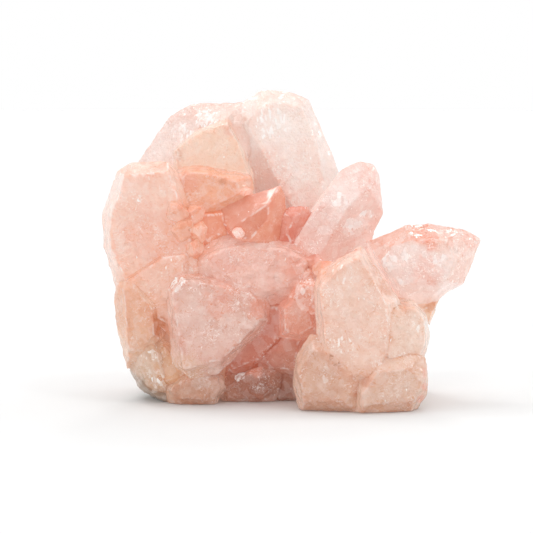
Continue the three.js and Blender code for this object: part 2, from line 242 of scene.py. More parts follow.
# Habits that several crystals share: run together, dulled, water-rounded, freshly grown, small druse
fused = {"crease": 0.25, "fillet": 2.8}
worn = {"arris": 110, "line": 0.3}
rounded = {"arris": 55, "ripple": 0.5, "chisel": 0.6, "line": 0.15, "rimShade": 0.15}
crisp = {"arris": 300, "chips": 4, "chisel": 0.22, "ripple": 0.15}
grain = {"arris": 60, "step": 0.25, "grow": 0.9, "fillet": 2.0, "crease": 0.9, "stain": 1.0, "line": 0.1}
crystalSettings = {
    "right_front_crystal": {"tint": "cream", "stain": 1.2, "veil": 0.7, "fillet": 2.2},
    "right_side_crystal": {**worn, "tint": "palePeach", "stain": 1.2, "fillet": 2.2},
    "front_base_crystal": {**worn, "tint": "clay", "stain": 0.5, "crease": 0.25, "fillet": 2.2},
    "right_base_crystal": {**worn, "tint": "warmBeige", "stain": 1.2, "crease": 0.25, "fillet": 2.2},
    "far_right_point": {**crisp, "tint": "paleRose", "stain": 0.25, "veil": 0.9, "bleed": 0.3, "fillet": 3.0,
                        "facets": [("#f1c3b2", (0, -0.3, 1)), ("#f6eae5", (0, -1, -0.3)),
                                   ("#f3d6c9", (0.5, -1, 0.4))]},
    "orange_flake": {"tint": "apricot", "chips": 3, "stain": 0.6},
    "upper_right_point": {**crisp, "tint": "paleRose", "stain": 0.1, "veil": 0.9, "bleed": 0.4,
                          "facets": [("#f6e6e1", (-1, -1, 0.4)), ("#f4d8d0", (1, -1, 0.2))]},
    "glassy_knob": {**fused, "tint": "duskyRose", "arris": 90, "veil": 0.6},
    "big_front_crystal": {**fused, "tint": "duskyRose", "stain": 0.3, "veil": 0.75},
    "rounded_centre_crystal": {**rounded, **fused, "tint": "rose", "stain": 0.2},
    "salmon_crystal": {**fused, "tint": "salmon", "chips": 4},
    "lower_left_crystal": {"tint": "sand", "stain": 0.8, "veil": 0.4},
    "pink_wedge_crystal": {**fused, "tint": "coral", "stain": 0.7, "veil": 0.3},
    "left_foot_crystal": {**worn, "tint": "bone", "stain": 0.4, "veil": 0.6, "fillet": 2.0},
    "peach_keystone": {**worn, "tint": "ochre", "stain": 0.9, "fillet": 2.4},
    "front_pebble": {**rounded, "tint": "tan", "stain": 0.5, "crease": 0.2, "fillet": 2.4},
    "deep_rose_crystal": {"tint": "brick", "veil": 0.3, "fillet": 2.0},
    "smoky_base_crystal": {**rounded, "tint": "smoke", "crease": 0.2, "fillet": 2.4},
    "brown_base_crystal": {**rounded, "tint": "rustBrown", "veil": 0.15},
    "recess_crystal": {"tint": "brickRose", "veil": 0.3, "fillet": 2.0},
    "nook_grain_1": {**grain, "tint": "brick"},
    "nook_grain_2": {**grain, "tint": "salmon"},
    "nook_grain_3": {**grain, "tint": "orange"},
    "seam_grain_1": {**grain, "tint": "warmRose"},
    "seam_grain_2": {**grain, "tint": "orange"},
    "seam_grain_3": {**grain, "tint": "amber"},
    "seam_grain_4": {**grain, "tint": "warmRose"},
    "seam_grain_5": {**grain, "tint": "orange"},
    "frost_grain_1": {**worn, "tint": "softRose", "step": 0.2, "bleed": 0.5},
    "frost_grain_2": {**worn, "tint": "softRose", "step": 0.2, "bleed": 0.5},
    "centre_point": {"finish": "smooth_rose_quartz", "tint": "flame", "arris": 260, "chips": 0,
                     "ripple": 0.06, "chisel": 0.05, "veil": 0.25, "paintedSideLight": 0.0, "bleed": 0.15, "rimShade": 0.1,
                     "facets": [("#e2a08e", (-1, -0.5, 0.3)), ("#da896b", (0.15, -1, 0.2)),
                                ("#f0ab90", (1, -0.6, -0.2))]},
    "red_point": {**crisp, "tint": "red", "veil": 0.3, "bleed": 0.3},
    "left_shoulder_crystal": {"tint": "warmRose", "paintedSideLight": 0.8, "veil": 0.45, "line": 0.7},
    "orange_block": {**crisp, "finish": "smooth_rose_quartz", "tint": "orange", "crease": 0.25,
                     "veil": 0.2, "bleed": 0.3, "fillet": 2.0},
    "amber_crystal": {**worn, "tint": "amber", "stain": 0.6, "veil": 0.3, "crease": 0.25, "fillet": 2.4},
    "peach_crystal": {**crisp, "tint": "peach", "stain": 0.6, "veil": 0.3, "bleed": 0.25, "fillet": 3.0},
    # its left front facet is tinted lighter and its side facets painted paler: painted light on faces in
    # shade
    "tall_back_crystal": {**crisp, "tint": "milk", "stain": 0.25, "veil": 0.8, "fillet": 4.5, "paintedSideLight": 0.9,
                          "facets": [("#fff0e8", (-0.7, -0.7, 0.0))]},
    "left_back_crystal": {**crisp, "tint": "whiteRose", "stain": 0.3, "veil": 0.7, "fillet": 3.0},
    "back_right_point": {**crisp, "tint": "paleRose", "veil": 0.9},
    "back_centre_point": {**crisp, "tint": "softRose"},
    "back_left_point": {**crisp, "tint": "softRose", "veil": 0.9},
    "back_right_crystal": {"tint": "rose"},
    "back_centre_crystal": {"tint": "softRose"},
    "back_left_crystal": {"tint": "rose"},
    "low_right_crystal": {**worn, "tint": "rosyBeige", "stain": 0.7},
    "low_centre_crystal": {**worn, "tint": "warmBeige", "stain": 0.9},
    "low_left_crystal": {**worn, "tint": "sand", "stain": 0.5},
    "grey_host_rock": {**rounded, "tint": "hostGrey", "veil": 0.2, "bleed": 0.2},
    "quartz_core": {**rounded, "tint": "coral", "step": 0.6},
}

# Local marks on the front of a crystal: how far across and up it, radius in mm, what it is, and how
# strong. Frost marks are white frosted patches that also stand as painted highlights; frost shows only
# above 0.3.
crystalMarks = {
    "left_back_crystal": [(0.65, 0.9, 4, "frost", 0.8), (0.45, 0.8, 4, "frost", 0.7)],
    "tall_back_crystal": [(0.35, 0.85, 6, "frost", 0.6), (0.5, 0.95, 3, "frost", 0.5),
                          (0.1, 0.85, 1.5, "iron", 0.4), (0.25, 0.55, 10, "blush", 0.25),
                          (0.6, 0.4, 10, "blush", 0.2)],
    "peach_crystal": [(0.1, 0.6, 2, "iron", 0.4), (0.8, 0.9, 3, "blush", 0.4)],
    "amber_crystal": [(0.15, 0.7, 4, "blush", 0.5), (0.6, 0.7, 1.5, "iron", 0.6)],
    "left_shoulder_crystal": [(0.4, 0.75, 1.2, "frost", 0.7), (0.9, 0.65, 2.5, "iron", 0.4),
                              (0.55, 0.5, 11, "blush", 0.3)],
    "big_front_crystal": [(0.1, 0.9, 2.5, "frost", 0.7), (0.15, 0.95, 1.5, "frost", 0.7),
                          (0.5, 0.75, 5, "blush", 0.4), (0.65, 0.95, 4, "blush", 0.5),
                          (0.9, 0.7, 3.5, "blush", 0.5), (0.2, 0.1, 6, "beige", 0.5)],
    "rounded_centre_crystal": [(0.3, 0.6, 1.5, "frost", 0.5), (0.2, 0.3, 2.5, "blush", 0.5),
                               (0.75, 0.6, 4, "blush", 0.4)],
    "glassy_knob": [(0.35, 0.65, 2, "frost", 0.5), (0.6, 0.95, 1.5, "frost", 0.5)],
    "lower_left_crystal": [(0.85, 0.6, 2, "iron", 0.8), (0.9, 0.45, 2.5, "iron", 0.8)],
    "pink_wedge_crystal": [(0.5, 0.3, 2, "iron", 0.7)],
    "left_foot_crystal": [(0.5, 0.75, 2.5, "frost", 0.6), (0.6, 0.3, 4, "frost", 0.5),
                          (0.2, 0.2, 2.5, "dirt", 0.5)],
    "front_pebble": [(0.65, 0.75, 5, "frost", 0.35)],
    "smoky_base_crystal": [(0.3, 0.8, 2, "frost", 0.8), (0.55, 1.0, 3, "blush", 0.7)],
    "upper_right_point": [(0.5, 0.65, 3, "frost", 0.7), (0.65, 0.4, 3, "frost", 0.6),
                          (0.8, 0.5, 2.5, "frost", 0.6), (0.8, 0.8, 3.5, "blush", 0.3)],
    "far_right_point": [(0.2, 0.55, 3.5, "frost", 0.7), (0.3, 0.65, 3, "frost", 0.6),
                        (0.25, 0.3, 2.5, "frost", 0.6), (0.6, 0.6, 2.5, "frost", 0.6),
                        (0.5, 0.9, 5, "blush", 0.8), (0.9, 0.8, 2.5, "blush", 0.5),
                        (0.75, 0.7, 1.2, "dirt", 0.3), (0.5, 0.45, 5, "blush", 0.3)],
    "right_front_crystal": [(0.3, 0.8, 3.5, "frost", 0.6), (0.45, 1.0, 2, "blush", 0.8),
                            (0.75, 0.85, 3, "iron", 0.4), (0.85, 0.7, 3.5, "iron", 0.4),
                            (0.35, 0.3, 3.5, "frost", 0.5)],
    "right_side_crystal": [(0.5, 0.95, 2, "iron", 0.4), (0.7, 0.55, 5, "frost", 0.4)],
    "front_base_crystal": [(0.9, 0.3, 2.5, "iron", 0.6), (0.4, 0.45, 3, "frost", 0.35)],
    "right_base_crystal": [(0.2, 0.6, 2, "iron", 0.6), (0.95, 0.7, 1.5, "blush", 0.5),
                           (0.95, 0.45, 1.5, "blush", 0.6), (0.9, 0.2, 1.5, "blush", 0.6)],
    "orange_flake": [(0.6, 0.75, 2, "iron", 0.5)],
}
markColours = {"frost": "#fffaf7", "iron": "#cf7d53", "blush": "#ee9f87", "beige": "#e3bb9d",
               "dirt": "#8a7768"}
# arris is the colour of the painted highlight line on the arrises
seamColours = {"iron": "#dc9167", "line": "#b0693f", "veil": "#fdf3ee", "arris": "#fff8f4"}

# How crystals meet, in mm unless it is a share
meeting = {
    "touch": 1.1,  # a facet nearer than this to an earlier crystal lies against it
    "push": 2.6, "pushShare": 0.3,  # how far it then moves in, at most this share of the crystal's width
    "underside": -0.95,  # facets whose normal points down more than this stay on the ground
    "raise": 0.8, "filletReach": 3,  # where a corner is measured from, and how far away a neighbour counts
    "buried": (0.5, 3.5),  # a fillet fades between these depths inside the neighbour
}
facingShare = 0.25  # a facet takes a facet tint when it faces that way more than this cosine
firstSeed = 700

crystals = {}
for order, node in enumerate(crystalSettings):
    settings = {**usual, **crystalSettings[node]}
    settings["body"], settings["deep"] = tints[settings["tint"]]
    rng = np.random.default_rng(firstSeed + order)
    corners = nodeCorners(node)
    normals, distances, middle, owner, faceMiddles, faceAreas = facetPlanes(corners)
    low, high = corners.min(0), corners.max(0)
    # planes that lie against an earlier crystal move into it, so that no groove is left between them
    touching = np.zeros(len(faceAreas))
    for earlier in crystals.values():
        outside = (faceMiddles @ earlier["normals"].T - earlier["distances"]).max(1)
        touching = np.maximum(touching, outside < mm(meeting["touch"]))
    share = np.array([(faceAreas * touching)[owner == k].sum() / faceAreas[owner == k].sum()
                      for k in range(len(normals))])
    free = normals[:, 2] > meeting["underside"]
    push = min(mm(meeting["push"]), meeting["pushShare"] * (high - low).min())
    distances = distances + mm(settings["grow"]) * free
    distances = distances + np.where((share > 0.5) & free, push, 0.0)
    chipNormals, chipDistances = chipPlanes(
        corners, middle, settings["chips"], mm(settings["chipDepth"]), rng)
    crystals[node] = {
        "settings": settings, "order": order, "middle": middle, "low": low, "high": high,
        "normals": np.concatenate([normals, chipNormals]),
        "distances": np.concatenate([distances, chipDistances]),
        "tones": rng.uniform(-1, 1, len(normals) + settings["chips"])}
    # each facet takes the tint whose direction it faces most
    facetTints = np.tile(hexColour(settings["body"]), (len(normals) + settings["chips"], 1))
    if settings["facets"]:
        towards = np.array([direction for tint, direction in settings["facets"]], dtype=float)
        towards /= np.linalg.norm(towards, axis=1)[:, None]
        facing = crystals[node]["normals"] @ towards.T
        colours = np.array([hexColour(tint) for tint, direction in settings["facets"]])
        facetTints = np.where(facing.max(1)[:, None] > facingShare, colours[facing.argmax(1)], facetTints)
    crystals[node]["tints"] = facetTints
say(len(crystals), "crystals,", sum(len(c["normals"]) for c in crystals.values()), "facet planes")


# The other crystals around some points: for each one near enough, which points it is near, and how far
# they are outside its furthest facet plane.
def nearCrystals(crystal, points, reach):
    for other in crystals.values():
        if other is crystal:
            continue
        close = np.nonzero(((points > other["low"] - reach) & (points < other["high"] + reach)).all(1))[0]
        if len(close):
            yield other, close, (points[close] @ other["normals"].T - other["distances"]).max(1)


# Relief of the broken surface: width in mm and share of each set of waves and of conchoidal chips
relief = {
    "waves": (8, 1.0), "fineWaves": (3.2, 0.5), "ripples": (1.3, 0.25),
    "chips": (4.2, 0.65), "fineChips": (1.7, 0.35),
    "chipHeight": 1.6,  # chips stand this much higher than the crystal's own chisel height
    "fullSize": 5,  # a crystal less than this from middle to side, in mm, gets less relief
}


# Surface of a crystal: seen from its middle along a direction, facet k lies at
# clearance / cos(angle to its normal). The nearest facet wins, softened by summing the inverse
# distances to the power arris. Waves and conchoidal chips lift it, and where a neighbour rises
# beside it a fillet (width - gap)^2 / (4 width) fills the corner.
def crystalSurface(crystal):
    settings = crystal["settings"]
    halfSizes = (crystal["high"] - crystal["low"]) / 2
    directions, rows, columns, mirrored = directionGrid(
        halfSizes, mm(settings["step"]) * (1.0))
    clearance = crystal["distances"] - crystal["normals"] @ crystal["middle"]
    closeness = np.clip(directions @ crystal["normals"].T, 1e-6, None) / clearance
    nearest = closeness.max(1)
    shares = (closeness / nearest[:, None]) ** settings["arris"]
    radius = 1 / (nearest * shares.sum(1) ** (1 / settings["arris"]))
    shares /= shares.sum(1)[:, None]
    # how far each point is from the arris with the second nearest facet, and how sharp that arris is
    first, second = np.argsort(-closeness, axis=1)[:, :2].T
    every = np.arange(len(first))
    sine = np.sqrt(1 - (crystal["normals"][first] * crystal["normals"][second]).sum(1) ** 2)
    fromArris = clearance[second] * (1 - closeness[every, second] / nearest) / np.maximum(sine, 0.2)
    outward = shares @ crystal["normals"]
    outward /= np.linalg.norm(outward, axis=1)[:, None]
    points = crystal["middle"] + directions * radius[:, None]
    seed = crystal["order"] + 1

    def noise(kind, noiseSeed):
        width, share = relief[kind]
        return share * spaceNoise(points, mm(width), noiseSeed)

    waves = noise("waves", 3) + noise("fineWaves", seed + 50) + noise("ripples", seed + 90)
    width, share = relief["chips"]
    chips = share * chiselNoise(points, mm(width), seed)
    width, share = relief["fineChips"]
    chips = chips + share * chiselNoise(points, mm(width), seed + 20, 12.0)
    scale = min(1.0, halfSizes.min() / mm(relief["fullSize"]))
    lift = mm(settings["ripple"]) * waves + mm(settings["chisel"]) * relief["chipHeight"] * chips
    points += directions * (scale * lift)[:, None]
    fillet = np.zeros(len(points))
    buriedFrom, buriedTo = (mm(depth) for depth in meeting["buried"])
    raised = points + outward * mm(meeting["raise"])
    for other, close, gap in nearCrystals(crystal, raised, mm(meeting["filletReach"])):
        width = mm(max(settings["fillet"], other["settings"]["fillet"]))
        grown = np.clip(width - np.maximum(gap, 0), 0, None) ** 2 / (4 * width)
        grown *= 1 - smoothStep(-gap, buriedFrom, buriedTo)
        fillet[close] = np.maximum(fillet[close], grown)
    points += outward * fillet[:, None]
    points[:, 2] = np.maximum(points[:, 2], 0.0)
    crystal["facetTone"] = shares @ crystal["tones"]
    crystal["facetTint"] = shares @ crystal["tints"]
    crystal["sideways"] = np.abs(outward[:, 0]) * (1 - 0.6 * np.clip(outward[:, 1], 0, 1))
    crystal["fromArris"] = fromArris
    crystal["sharpness"] = smoothStep(sine, 0.15, 0.6)
    crystal["chips"] = chips
    crystal["outward"] = outward
    return points, rows, columns, mirrored


# How the colour is built up. Widths are in mm, and the rest are shares.
colouring = {
    "reach": 7, "bleed": 2.4, "bleedMost": 0.9,  # how far neighbours count, and how fast their colour fades
    "seam": 0.6, "hollow": 3.0,  # widths of a seam, and of the hollow beside a neighbour, where painted shade deepens the colour
    "patches": 6, "clouds": 11, "fineClouds": 4.5,  # widths of stained patches and of deeper clouds
    "deepness": 0.3, "cloudy": 0.35, "shadeInHollow": 0.2,  # how much of the deep colour comes in; the share in hollows is painted shade
    "rimShade": 1.6,  # width of the painted shade: deeper colour beside an arris
    "tone": 0.16, "hollowShade": 0.15, "sideLightMost": 0.5, "chipped": 0.1, "spots": 0.08,  # shares of the path; the hollow share is painted shade, the side share painted light
    "milk": 7, "fineMilk": 2.6, "milkMost": 0.35,  # widths of the milky clouds, and how white they get
    "stainMost": 0.7, "lineMost": 0.85,  # strength of iron in a seam, and of the fine brown line in it
    "arrisHighlight": (0.15, 0.5),  # the painted highlight line on an arris is full up to here, and gone at the second
}


# Colour of a crystal at each point: its own body and deep colours, mixed with those of its neighbours by
# exp(-gap / 2.4 mm), then clouds, painted shade in hollows and beside arrises, facet tones, painted light on
# paler side facets, milk, stain, local marks, frost that also stands as painted highlights, and a painted
# highlight line on the arrises.
def crystalColour(node, crystal, points):
    settings = crystal["settings"]
    count = len(points)
    weights = np.ones(count)
    body = crystal["facetTint"].copy()
    deep = np.tile(hexColour(settings["deep"]), (count, 1))
    seam = np.zeros(count)
    hollow = np.zeros(count)
    for other, close, gap in nearCrystals(crystal, points, mm(colouring["reach"])):
        gap = np.maximum(gap, 0)
        shared = min(settings["bleed"], other["settings"]["bleed"])
        weight = colouring["bleedMost"] * np.exp(-gap / mm(colouring["bleed"])) * shared
        body[close] += weight[:, None] * np.array(hexColour(other["settings"]["body"]))
        deep[close] += weight[:, None] * np.array(hexColour(other["settings"]["deep"]))
        weights[close] += weight
        seam[close] = np.maximum(seam[close], np.exp(-(gap / mm(colouring["seam"])) ** 2))
        hollow[close] += np.exp(-gap / mm(colouring["hollow"]))
    body /= weights[:, None]
    deep /= weights[:, None]
    hollow = np.clip(hollow / 2, 0, 1)
    patchy = spaceNoise(points, mm(colouring["patches"]), 31)
    clouds = (spaceNoise(points, mm(colouring["clouds"]), 12)
              + 0.5 * spaceNoise(points, mm(colouring["fineClouds"]), 13))
    deepness = colouring["deepness"] + colouring["cloudy"] * clouds + colouring["shadeInHollow"] * hollow
    colour = body + (deep - body) * np.clip(deepness, 0, 1)[:, None]
    # painted light and shade: the colour is raised to the power of a path length, as light that travels
    # further comes out deeper. The path is shorter, so the colour paler, on thin side facets (painted light)
    # and where chips stand high; longer, so deeper, in hollows and beside arrises (painted shade) and along
    # seams, which darken as joints; facet tones and spots vary it at random.
    litSide = smoothStep(crystal["sideways"], 0.45, 0.8) * settings["paintedSideLight"] * (1 - 0.7 * hollow)
    beside = np.exp(-crystal["fromArris"] / mm(colouring["rimShade"]))
    rimShade = beside * crystal["sharpness"] * (1 - hollow) * settings["rimShade"]
    crease = smoothStep(seam, 0.45, 0.95) * (0.75 + 0.5 * patchy) * settings["crease"]
    path = (1 + colouring["tone"] * crystal["facetTone"] + colouring["hollowShade"] * hollow + crease
            - colouring["sideLightMost"] * litSide + rimShade - colouring["chipped"] * crystal["chips"]
            + colouring["spots"] * spaceNoise(points, mm(2.2), 14))
    colour = np.clip(colour, 1e-4, 1) ** np.clip(path, 0.35, 3)[:, None]

    def blend(share, tint):
        share = np.clip(share, 0, 1)[:, None]
        return colour + (np.array(hexColour(tint)) - colour) * share

    milk = smoothStep(spaceNoise(points, mm(colouring["milk"]), 21)
                      + 0.6 * spaceNoise(points, mm(colouring["fineMilk"]), 22), 0.3, 1.0)
    colour = blend(milk * settings["veil"] * colouring["milkMost"], seamColours["veil"])
    rusty = smoothStep(patchy + 0.5 * spaceNoise(points, mm(2.0), 33), -0.1, 0.5)
    colour = blend(seam * rusty * settings["stain"] * colouring["stainMost"], seamColours["iron"])
    fine = smoothStep(spaceNoise(points, mm(1.5), 35) + spaceNoise(points, mm(4), 36), 0.0, 0.6)
    narrow = smoothStep(seam, 0.75, 1.0)
    colour = blend(narrow * fine * settings["stain"] * colouring["lineMost"], seamColours["line"])
    # local marks have ragged edges, and stay on the front
    frosty = np.zeros(count)
    size = crystal["high"] - crystal["low"]
    ragged = 1 + 0.45 * spaceNoise(points, mm(1.6), 41) + 0.3 * spaceNoise(points, mm(3.5), 42)
    front = smoothStep(-crystal["outward"][:, 1], -0.35, 0.05)
    for across, up, radius, kind, strength in crystalMarks.get(node, []):
        away = points[:, [0, 2]] - (crystal["low"] + size * np.array([across, 0, up]))[[0, 2]]
        spread = np.hypot(away[:, 0], away[:, 1]) / mm(radius) / np.clip(ragged, 0.3, None)
        share = (1 - smoothStep(spread, 0.55, 1.25)) * strength * front
        # frost marks: white frosted patches, also painted highlights
        if kind == "frost":
            frosty = np.maximum(frosty, share)
        else:
            colour = blend(share, markColours[kind])
    # painted highlight: light caught on the arrises, painted as a line about 0.3 mm wide, broken by noise
    broken = smoothStep(spaceNoise(points, mm(3), 51) + 0.6 * spaceNoise(points, mm(0.9), 52), -0.1, 0.4)
    full, gone = (mm(width) for width in colouring["arrisHighlight"])
    onArris = 1 - smoothStep(crystal["fromArris"], full, gone)
    glint = onArris * crystal["sharpness"] * broken
    colour = blend(glint * (1 - seam) * settings["line"], seamColours["arris"])
    return colour, np.clip(milk * settings["veil"] + seam * 0.6, 0, 1), frosty, hollow


# Adds one node. settings: its properties, or values of its sockets. links: what feeds its sockets,
# either a node (its first output) or one of its outputs.
def addNode(tree, kind, settings=None, links=None):
    node = tree.nodes.new(kind)
    for key, value in (settings or {}).items():
        if isinstance(key, str) and hasattr(node, key):
            setattr(node, key, value)
        else:
            node.inputs[key].default_value = value
    for key, source in (links or {}).items():
        tree.links.new(source if isinstance(source, bpy.types.NodeSocket) else source.outputs[0],
                       node.inputs[key])
    return node


# Rose quartz is silica with a little iron, IOR 1.544, grown and broken rather than polished: the eye
# gets a soft inner glow, white healed cracks and many small glints. clear: share of light that goes
# straight through. fleck: how many white cracks and flecks, the flecks being flaws and painted glints.
# plates: broken bright and dark patches inside a clear crystal, cracks with painted reflections in them.
# relief: how strong the bumps are. glow: painted glow, the share of its colour that it gives out as
# emitted light though it is no lamp. shard: mm across the shards of frost, which also stand as painted
# highlights.
usualFinish = {"clear": 0.1, "rough": 0.12, "platesAndReflections": 0.12, "relief": 0.9, "paintedGlow": 0.16, "shard": 0.9}
finishes = {
    # water-clear points with glassy facets and frosty flaws inside
    "clear_rose_quartz": {"clear": 0.45, "rough": 0.05, "fleck": 0.9, "platesAndReflections": 0.3, "relief": 0.75,
                          "paintedGlow": 0.3, "shard": 1.4},
    "clear_peach_quartz": {"clear": 0.45, "rough": 0.05, "fleck": 0.9, "platesAndReflections": 0.3, "relief": 0.75,
                           "paintedGlow": 0.3, "shard": 1.4},
    # flat grown facets, shiny and nearly without flaws
    "smooth_rose_quartz": {"clear": 0.15, "rough": 0.06, "fleck": 0.25, "platesAndReflections": 0.05, "relief": 0.3,
                           "paintedGlow": 0.2},
    # broken blocks, cloudy inside, with a glassy skin of small conchoidal chips
    "pale_rose_quartz": {"rough": 0.1, "fleck": 0.8, "relief": 0.75, "paintedGlow": 0.18},
    "milky_rose_quartz": {"clear": 0.08, "fleck": 0.6, "relief": 0.75, "paintedGlow": 0.18},
    "peach_quartz": {"rough": 0.1, "fleck": 0.45, "paintedGlow": 0.18},
    "amber_quartz": {"clear": 0.12, "rough": 0.1, "fleck": 0.5, "platesAndReflections": 0.15, "relief": 0.75, "paintedGlow": 0.2},
    "deep_rose_quartz": {"fleck": 0.35},
    "red_rose_quartz": {"clear": 0.15, "rough": 0.08, "fleck": 0.35, "relief": 0.6, "paintedGlow": 0.2},
    # stained and sugary blocks, duller than the rest
    "beige_quartz": {"clear": 0.08, "rough": 0.16, "fleck": 0.55},
    "smoky_quartz": {"rough": 0.15, "fleck": 0.7},
    "brown_stained_quartz": {"clear": 0.05, "rough": 0.18, "fleck": 0.3, "platesAndReflections": 0.1},
    # druse grains, sparkling and half clear
    "frosty_quartz": {"clear": 0.3, "rough": 0.06, "fleck": 1, "platesAndReflections": 0.3, "relief": 0.6, "paintedGlow": 0.35},
    # granular grey rock, dull and with hardly any painted glow
    "grey_host_rock": {"clear": 0, "rough": 0.7, "fleck": 0.2, "platesAndReflections": 0.25, "paintedGlow": 0.06},
}

# How the quartz is built up inside, in mm unless it is a share. Real healed cracks, flecks and shards
# are finer than these, and are drawn as coarse as they need to be to show.
layers = {
    "swirl": 2.4, "grain": 1.1,  # width of the swirls inside, and of the grain of the broken surface
    "mottle": 0.08,  # how much the swirls deepen and bleach the colour
    "plate": 2.6, "plateBend": 1.6,  # width of a flat crack, and how far the swirls bend it
    "field": 1.9,  # width of the swirling field that the curls and the threads follow
    "curl": 0.85, "thread": 0.6,  # strength of the white curls and of the deep red threads
    "fleckCell": 1.6, "fleckStretch": 0.35,  # width of the cells that flecks sit in, and their stretch
    "fleckShare": 0.35, "fleck": 0.9,  # share of the cells that have a fleck, and its strength
    "region": 6.5,  # width of the places that have curls, and of those that have nets
    "shardStretch": 0.4, "shardMost": 0.9, "shardTurns": ((0.2, -0.9, 0.3), (0.5, 0.8, 1.2)),
    "net": 4.5, "netBend": 5.0, "netLine": 0.4,  # width of a net's cells, their bend, the line's strength
    "grainRelief": 0.22, "plateRelief": 0.12, "bump": 0.8,  # shares of the bump, and its height
    "paintedHollowGlow": 2.2,  # how many times stronger the painted glow is in a hollow than on open ground, lifting its shade
    "scatter": 0.3, "scatterDepth": 3.0, "scatterRadius": (1.0, 0.5, 0.4),  # red light goes furthest
    "coat": 0.5, "coatRough": 0.03,  # the glassy skin that gives the glints
    "refraction": 1.544,
}
flawAndHighlightWhite = "#fffaf7"
plateAndReflectionWhite = "#fdf3ee"


